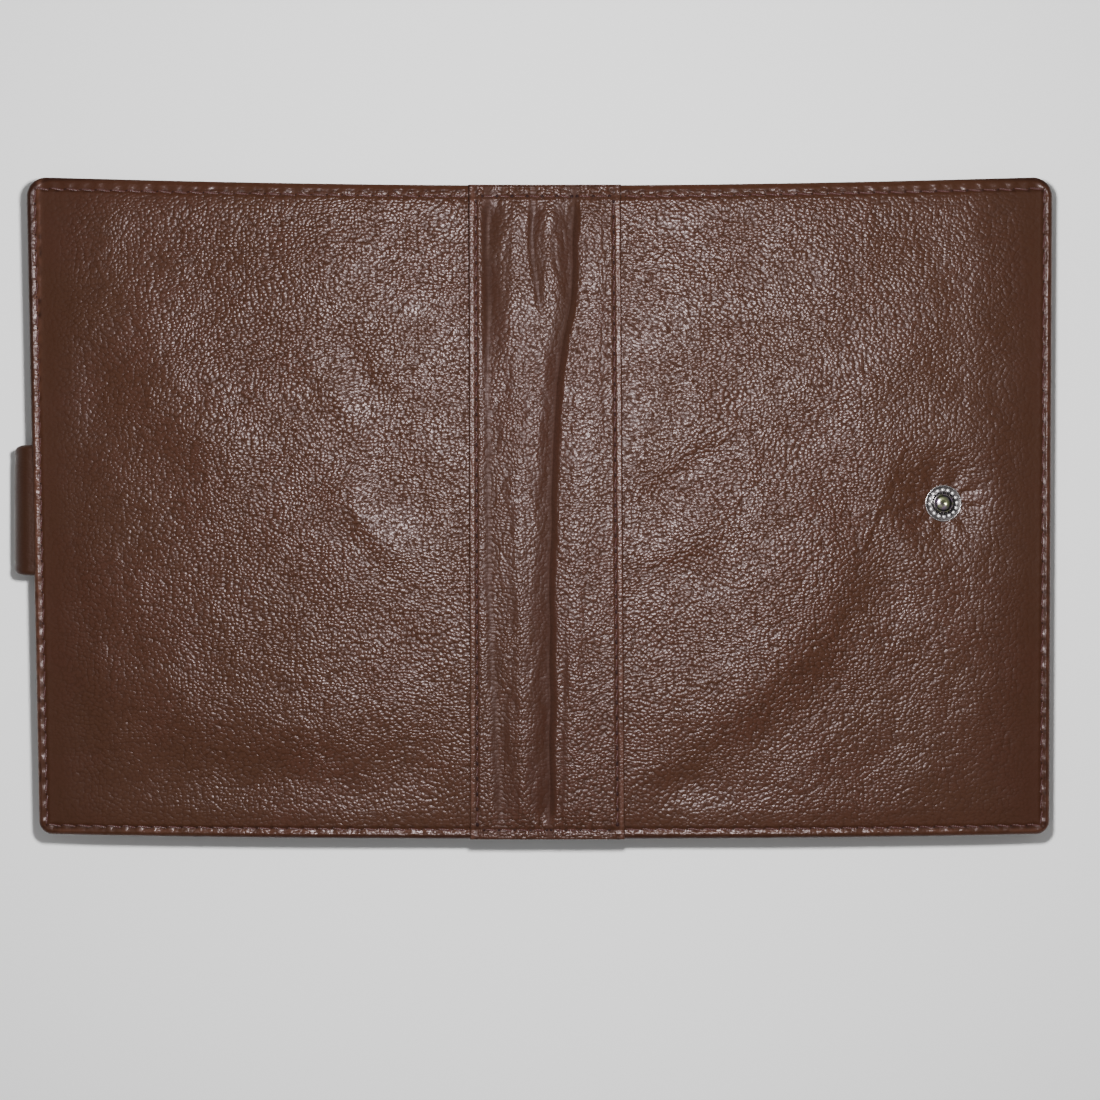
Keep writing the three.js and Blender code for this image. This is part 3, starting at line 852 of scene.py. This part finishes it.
def cover_surface(side):
    """The cover's height by where a point lies after the outline was shaped."""
    def height(px, py):
        x, y = unshaped(px, py)
        return cover_height(side, side * (x - SPINE_X), y)
    return height


def ball(centre, radius, flat, columns=20, rows=12):
    """A ball, pressed flat if flat is under 1."""
    angles = np.linspace(-math.pi / 2, math.pi / 2, rows + 1)
    profile = [(radius * math.cos(a), centre[2] + radius * flat * math.sin(a)) for a in angles]
    return turned(profile, centre, columns)


RANDOM = np.random.default_rng(11)
WOBBLE = 0.05


def run_of(points, surface, slant=0.12, gap=0.17, **size):
    """Stitches along a polyline, a pitch apart, each turned a little."""
    parts = []
    for (ax, ay), (bx, by) in zip(points, points[1:]):
        length = math.dist((ax, ay), (bx, by))
        ux, uy = (bx - ax) / length, (by - ay) / length
        wobble = RANDOM.uniform(-WOBBLE, WOBBLE, 2)
        start, end = gap * length + wobble[0], (1 - gap) * length + wobble[0]
        tilt = slant + wobble[1]
        a = (ax + ux * start - uy * tilt, ay + uy * start + ux * tilt)
        b = (ax + ux * end + uy * tilt, ay + uy * end - ux * tilt)
        parts.append(stitch(a, b, surface, **size))
    return parts


def row_of_holes(a, b):
    """Holes from a to b, close to a pitch apart, each moved to where the shaped leather lies."""
    count = max(1, round(math.dist(a, b) / PITCH))
    xs, ys = np.linspace(a[0], b[0], count + 1), np.linspace(a[1], b[1], count + 1)
    px, py = shaped(xs, ys)
    return list(zip(px.tolist(), py.tolist()))


HOLE_SINK = 0.05


def sew(name, parts, spots, surface, node, body, hole=0.4, bends=False):
    """One seam: its thread, and the dark mouths of its holes as small sunken beads of painted shade."""
    xs, ys = np.array([p[0] for p in spots]), np.array([p[1] for p in spots])
    mouths = [ball((x, y, z - HOLE_SINK), hole, 0.4, 12, 6) for x, y, z in zip(xs, ys, surface(xs, ys))]
    dark = make(name + "_holes", *merged(mouths), HOLE_SHADE)
    thread = make(name, *merged(parts), THREAD)
    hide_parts(node)
    for obj in (dark, thread):
        if bends:
            bend_across(obj)
        else:
            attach(obj, body)


def edge_stitches(name, node, body):
    """The seam round a cover's three free edges."""
    side = SIDE[body]
    surface = cover_surface(side)
    outer = SPINE_X + side * (EDGE - SIDE_SEAM)
    first = strip_edge(side, 0) + side * 0.6
    parts, spots = [], []
    corner, low_corner = (outer, TOP_ROW), (outer, BOTTOM_ROW)
    for a, b in (((first, TOP_ROW), corner), (corner, low_corner), ((first, BOTTOM_ROW), low_corner)):
        parts += run_of(row_of_holes(a, b), surface, slant=0.2, gap=0.1, radius=0.24)
        spots += row_of_holes(a, b)
    sew(name, parts, spots, surface, node, body, hole=0.26)


def strip_surface(px, py):
    return strip_height(*unshaped(px, py))


CORNER_GAP = 1.2  # between a lap seam's end and the seam across the strip


def lap_stitches(name, node, body):
    """The seam down one side of the strip."""
    top, bottom = TOP_ROW - CORNER_GAP, BOTTOM_ROW + CORNER_GAP
    side = SIDE[body]
    ends = [(strip_edge(side, y) - side * LAP_SEAM, y) for y in (top, bottom)]
    spots = row_of_holes(*ends)
    parts = run_of(spots, strip_surface, radius=0.23, gap=0.19, slant=0.18)
    sew(name, parts, spots, strip_surface, node, body, hole=0.46)


def end_stitches(name, node, body):
    """The seams across one half of the strip's two ends."""
    side = SIDE[body]
    edge = strip_edge(side, 0) - side * 3.0
    parts, spots = [], []
    for y in (TOP_ROW, BOTTOM_ROW):
        row = row_of_holes((middle(y) + side * 0.6, y), (edge, y))
        spots += row
        parts += run_of(row, strip_surface)
    sew(name, parts, spots, strip_surface, node, body, bends=True)


edge_stitches("front_edge_stitches", "front_edge_thread", "front_cover")
edge_stitches("back_edge_stitches", "back_edge_thread", "back_cover")
lap_stitches("front_lap_stitches", "lap_thread_front", "front_cover")
lap_stitches("back_lap_stitches", "lap_thread_back", "back_cover")
end_stitches("strip_end_stitches_front", "spine_thread_top", "front_cover")
end_stitches("strip_end_stitches_back", "spine_thread_bottom", "back_cover")


# ---- Snap stud ----
BEADS = 16
BEAD_CIRCLE = 2.96  # the radius that the beads stand on
BEAD_RADIUS, BEAD_LIFT, BEAD_FLAT = 0.43, 0.34, 0.78
# Sections of the stud, as (radius, height over its foot).
STUD_CUP = [(2.55, 0.14), (2.35, 0.2), (2.25, 0.34), (2.05, 0.42)]
STUD_CUP += [(1.86, 0.38), (1.7, 0.34), (1.6, 0.4), (0, 0.4)]
KNOB = [(0, 0.3), (1.6, 0.3), (1.6, 0.6), (1.72, 0.78), (1.92, 0.95), (2.04, 1.12), (2.08, 1.26)]
KNOB += [(2.03, 1.42), (1.88, 1.57), (1.6, 1.7), (1.2, 1.79), (0.8, 1.83)]
KNOB += [(0.5, 1.81), (0.25, 1.75), (0, 1.72)]


def stud():
    """A plate with a rolled rim, a ring of beads, and a knob with a dimple."""
    base = STUD_LOW[2]
    radius = (STUD_HIGH[0] - STUD_LOW[0]) / 2
    plate = [(0, 0), (radius - 0.12, 0), (radius - 0.05, 0.06), (radius - 0.1, 0.2), (radius - 0.4, 0.17)]
    angles = np.linspace(-1.2, math.pi, 12)
    roll = [(radius - 0.15 + 0.15 * math.cos(a), 0.22 + 0.16 * math.sin(a)) for a in angles]
    foot = [(radius - 0.3, 0.12)]
    beads = []
    for k in range(BEADS):
        a = 2 * math.pi * (k + 0.12) / BEADS
        x, y = STUD[0] + BEAD_CIRCLE * math.cos(a), STUD[1] + BEAD_CIRCLE * math.sin(a)
        beads.append(ball((x, y, base + BEAD_LIFT), BEAD_RADIUS, BEAD_FLAT))

    def part(profile):
        return turned([(r, base + z) for r, z in profile], STUD)

    # Each piece is the same nickel in its own tone: painted shade on the plate and the rim, painted
    # highlights on the beads and a painted reflection on the knob.
    pieces = (("stud_plate", part(plate + STUD_CUP), NICKEL_PAINTED_SHADE),
              ("stud_rim", part(foot + roll + foot), NICKEL_RIM_PAINTED_SHADE),
              ("stud_knob", part(KNOB), NICKEL_PAINTED_REFLECTION),
              ("stud_beads", merged(beads), NICKEL_PAINTED_HIGHLIGHT))
    for name, shape, material in pieces:
        obj = make(name, *shape, material, sharp=60)
        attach(obj, "front_cover")
        if name == "stud_plate":
            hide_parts("snap_stud")


stud()


# ---- Closing tab ----
TAB_MID_Y = (BEND_LOW[1] + BEND_HIGH[1]) / 2
TAB_HALF = (BEND_HIGH[1] - BEND_LOW[1]) / 2
BEND_OUTER = (BEND_HIGH[2] - BEND_LOW[2]) / 2
BEND_CX, BEND_CZ = BEND_HIGH[0], (BEND_HIGH[2] + BEND_LOW[2]) / 2
TAB_THICK = 1.65
TIP_X = PLY_HIGH[0]
TIP_CORNER = 9.0
LOOP_SAG = 0.4  # how far the leather's loop stands out beyond a true half circle
LOOP_WAIST = 0.9  # how much narrower each side of the strap is where the loop stands out
TAB_SEAM = 2.2  # from the seam to the tab's edge
SHORTEST_STITCH = 1.2


def strap(name, path, halves):
    """A strap along a path in X and Z: rounded at its long edges, and half as wide as halves says."""
    way = np.gradient(np.array(path), axis=0)
    way /= np.linalg.norm(way, axis=1)[:, None]
    normals = [(z, -x) for x, z in way]
    half_across = np.array([0.15, 0.35, 0.55, 0.7, 0.8, 0.84, 0.88, 0.92, 0.955, 0.985, 1.0])
    across = np.concatenate([-half_across[::-1], half_across])
    rings = []
    for (px, pz), (nx, nz), half in zip(path, normals, halves):
        depth = (1 - np.abs(across)) * half
        thick = TAB_THICK / 2 - quarter_round(depth, TAB_THICK / 2)
        thick = thick - 0.13 * bell(depth - TAB_SEAM, 0.55) + 0.02
        y = TAB_MID_Y + across * half
        outer = stacked(px + nx * thick, y, pz + nz * thick)
        inner = stacked(px - nx * thick, y, pz - nz * thick)[::-1]
        rings.append(np.concatenate([outer, inner]))
    faces = ring_faces(len(path), 2 * len(across), capped=True)
    return make(name, np.concatenate(rings), faces, TAB, sharp=60)


def tab():
    mid = BEND_OUTER - TAB_THICK / 2
    level = BEND_CZ - mid
    outer_x = BEND_CX - mid - LOOP_SAG
    root_x, root_z = BACK_LOW[0] - 0.45, COVER_TOP - 1.25
    # The upper quarter of the bend, out of the cover's turned edge.
    angles = np.linspace(math.pi / 2, math.pi, 24)
    path = [(BACK_LOW[0] + 0.9, root_z)]
    for a in angles:
        path.append((root_x + (root_x - outer_x) * math.cos(a), BEND_CZ + (root_z - BEND_CZ) * math.sin(a)))
    halves = [TAB_HALF] + [TAB_HALF - LOOP_WAIST * math.cos(a) ** 6 for a in angles]
    upper = strap("tab_root_loop", path, halves)
    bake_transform(upper)
    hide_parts("tab_root", "tab_bend")
    # The lower quarter, and the length that lies under the cover, to its rounded tip.
    angles = np.linspace(math.pi, 3 * math.pi / 2, 22)
    path = [(BEND_CX + (BEND_CX - outer_x) * math.cos(a), BEND_CZ + mid * math.sin(a)) for a in angles]
    halves = [TAB_HALF - LOOP_WAIST * math.cos(a) ** 6 for a in angles]
    for x in np.linspace(BEND_CX + 0.5, TIP_X - TIP_CORNER, 46):
        path.append((x, level))
        halves.append(TAB_HALF)
    for a in np.linspace(0, math.pi / 2, 26)[1:-1]:
        path.append((TIP_X - TIP_CORNER + TIP_CORNER * math.sin(a), level))
        halves.append(TAB_HALF - TIP_CORNER + TIP_CORNER * math.cos(a))
    lower = strap("tab_strap", path, halves)
    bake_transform(lower)
    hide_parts("tab_outer_ply", "tab_inner_ply")

    under = level - TAB_THICK / 2

    def below(px, py):
        return np.full(np.shape(px), under)

    half, x0, x1, corner = TAB_HALF - TAB_SEAM, BEND_CX + 1.5, TIP_X - TAB_SEAM, TIP_CORNER - TAB_SEAM
    turn, low, high = x1 - corner, TAB_MID_Y - half, TAB_MID_Y + half
    arc = np.linspace(0, math.pi / 2, 5)[1:]
    line = [(x0 + (turn - x0) * k / 8, low) for k in range(9)]
    line += [(turn + corner * math.sin(a), low + corner - corner * math.cos(a)) for a in arc]
    line += [(x1, TAB_MID_Y + (half - corner) * k / 2) for k in range(3)]
    line += [(turn + corner * math.cos(a), high - corner + corner * math.sin(a)) for a in arc]
    line += [(turn + (x0 - turn) * k / 8, high) for k in range(1, 9)]
    parts = []
    for a, b in zip(line, line[1:]):
        if math.dist(a, b) > SHORTEST_STITCH:
            points, faces = run_of([a, b], below)[0]
            points[:, 2] = 2 * under - points[:, 2]
            parts.append((points, faces))
    obj = make("tab_stitches", *merged(parts), THREAD)
    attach(obj, "tab_end")
    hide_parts("tab_thread")


tab()


# The cap's section: its dome, which lies lowest, and its post up to the flared end.
CAP = [(0, 0.0), (1.4, 0.01), (2.6, 0.04), (3.5, 0.1), (4.2, 0.19), (4.65, 0.3), (4.9, 0.42)]
CAP += [(5.0, 0.54), (4.97, 0.63), (4.85, 0.69)]
CAP += [(1.5, 0.69), (1.5, 2.86), (2.1, 2.86), (2.06, 2.98), (1.9, 3.04), (0, 3.05)]


def snap_cap():
    """The cap and the socket on the tab's end."""
    low, high = node_box("snap_cap")
    centre = (low + high) / 2
    z0, z1 = (corner[2] for corner in node_box("snap_socket"))
    socket = [(1.7, z0), (4.15, z0), (4.25, z0 + 0.1), (4.25, z1 - 0.35), (4.18, z1 - 0.15)]
    socket += [(4.0, z1 - 0.03), (3.8, z1), (2.6, z1), (2.42, z1 - 0.04), (2.35, z1 - 0.12)]
    socket += [(2.35, z1 - 0.25), (2.75, z1 - 0.25), (2.75, z0 + 0.35), (1.7, z0 + 0.35), (1.7, z0)]
    for node, ending, profile in (("snap_cap", "_dome", CAP), ("snap_socket", "_ring", socket)):
        obj = make(node + ending, *turned(profile, centre), NICKEL, sharp=40)
        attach(obj, "tab_end")
        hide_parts(node)


snap_cap()


# ---- Inside: linings, sleeve and pockets ----
def soft_sheet(name, node, body, material, seed, pitch=2.2, notch=0.0):
    """A sheet in a CAD plate's place, with rounded edges, a line pressed along its border and slight waves.

    Its right edge has a round notch with the radius notch.
    """
    low, high = node_box(node)
    xs = spread(high[0] - low[0], pitch) + low[0]
    ys = spread(high[1] - low[1], pitch) + low[1]
    x, y = np.meshgrid(xs, ys, indexing="ij")
    d = np.minimum(np.minimum(x - low[0], high[0] - x), np.minimum(y - low[1], high[1] - y))
    fall = quarter_round(d, (high[2] - low[2]) / 2)
    crease = 0.07 * bell(d - 1.6, 0.35)
    wave = 0.05 * (noise(x / 19, y / 23, seed) - 1) * ramp(d, 1.5, 8)
    top = high[2] - fall - crease + wave * 0.5
    bottom = low[2] + fall + crease - wave * 0.5
    cut = np.sqrt(np.maximum(notch**2 - y**2, 0))
    x = low[0] + (x - low[0]) * (1 - cut / (high[0] - low[0]))
    px, py = shaped(x, y)
    columns, rows = len(xs), len(ys)
    points = np.concatenate([stacked(px, py, top), stacked(px, py, bottom)])
    count = columns * rows
    faces = grid_faces(columns, rows)
    faces += [[v + count for v in reversed(f)] for f in grid_faces(columns, rows)]
    loop = rim(columns, rows)
    faces += [[loop[k - 1], loop[k], loop[k] + count, loop[k - 1] + count] for k in range(len(loop))]
    obj = make(name, points, faces, material)
    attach(obj, body)
    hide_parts(node)


BODIES = (("front", "front_cover"), ("back", "back_cover"), ("spine", "spine"))
for k, (part, body) in enumerate(BODIES):
    soft_sheet(part + "_lining_cloth", part + "_lining", body, LINING, 51 + k)
for k, (part, body) in enumerate(BODIES):
    soft_sheet(part + "_board", part + "_stiffener", body, BOARD, 56 + k)
soft_sheet("ticket_pocket_panel", "ticket_pocket", "front_cover", INNER, 54)
soft_sheet("passport_sleeve_panel", "passport_sleeve", "back_cover", INNER, 55,
           pitch=0.9, notch=9.0)
for group in ("upper", "lower"):
    for k in (1, 2, 3):
        slot_node = f"card_slot_{group}_{k}"
        soft_sheet(slot_node + "_panel", slot_node, "front_cover", INNER, 60 + k)


# ---- CAD nodes that stay, with a better material ----
for node in ("snap_stud_rivet", "snap_spring"):
    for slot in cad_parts[node].material_slots:
        slot.material = NICKEL_CAD


# ---- Floor, light and camera ----
FLOOR_HALF = 3.0  # in metres, like the rest of this part of the script
FLOOR_GAP = 0.0002


def floor():
    b = Build("pale_floor")
    place = b.node("NewGeometry").outputs["Position"]
    colour = b.mix(b.noise(place, 3.0, 2.0), (0.93, 0.93, 0.93, 1), (0.95, 0.95, 0.95, 1))
    b.put(b.shader.inputs["Base Color"], colour)
    b.set("Roughness", 0.9)
    b.set("Specular IOR Level", 0.1)
    mesh = bpy.data.meshes.new("floor")
    corners = [(x * FLOOR_HALF, y * FLOOR_HALF, 0) for x, y in ((-1, -1), (1, -1), (1, 1), (-1, 1))]
    mesh.from_pydata(corners, [], [(0, 1, 2, 3)])
    mesh.materials.append(b.material)
    obj = added("floor", mesh)
    obj.location.z = -FLOOR_GAP


def lamp(name, place, aim, size, power):
    data = bpy.data.lights.new(name, "AREA")
    data.shape = "SQUARE"
    data.size = size
    data.energy = power
    obj = added(name, data)
    obj.location = place
    obj.rotation_euler = (Vector(aim) - Vector(place)).to_track_quat("-Z", "Y").to_euler()


floor()

# The camera looks straight down.
CAMERA_PLACE = (0.00364, -0.0093, 0.8)
VIEW_WIDTH = 0.2426  # what the picture spans at the height of the covers' top
SENSOR = 36
camera_data = bpy.data.cameras.new("camera")
camera_data.sensor_width = SENSOR
camera_data.lens = SENSOR * (CAMERA_PLACE[2] - COVER_TOP * MM) / VIEW_WIDTH
camera = added("camera", camera_data)
camera.location = CAMERA_PLACE
bpy.context.scene.camera = camera

lamp("key_light", (0.013, 0.053, 0.37), (0.0, 0.02, 0), 0.035, 2.3)
lamp("soft_light", (0.0, 0.05, 1.3), (0, 0, 0), 1.4, 3.0)


def studio():
    """A dim ceiling over pale walls."""
    world = bpy.data.worlds.new("studio")
    world.use_nodes = True
    nodes, links = world.node_tree.nodes, world.node_tree.links
    way = nodes.new("ShaderNodeTexCoord")
    split = nodes.new("ShaderNodeSeparateXYZ")
    wall = nodes.new("ShaderNodeMapRange")
    wall.interpolation_type = "SMOOTHSTEP"
    for socket, value in zip(list(wall.inputs)[1:5], (0.15, 0.6, 1.0, 0.04)):
        socket.default_value = value
    links.new(way.outputs["Generated"], split.inputs[0])
    links.new(split.outputs["Z"], wall.inputs[0])
    links.new(wall.outputs[0], nodes["Background"].inputs[1])
    nodes["Background"].inputs[0].default_value = (1, 1, 1, 1)
    bpy.context.scene.world = world


studio()
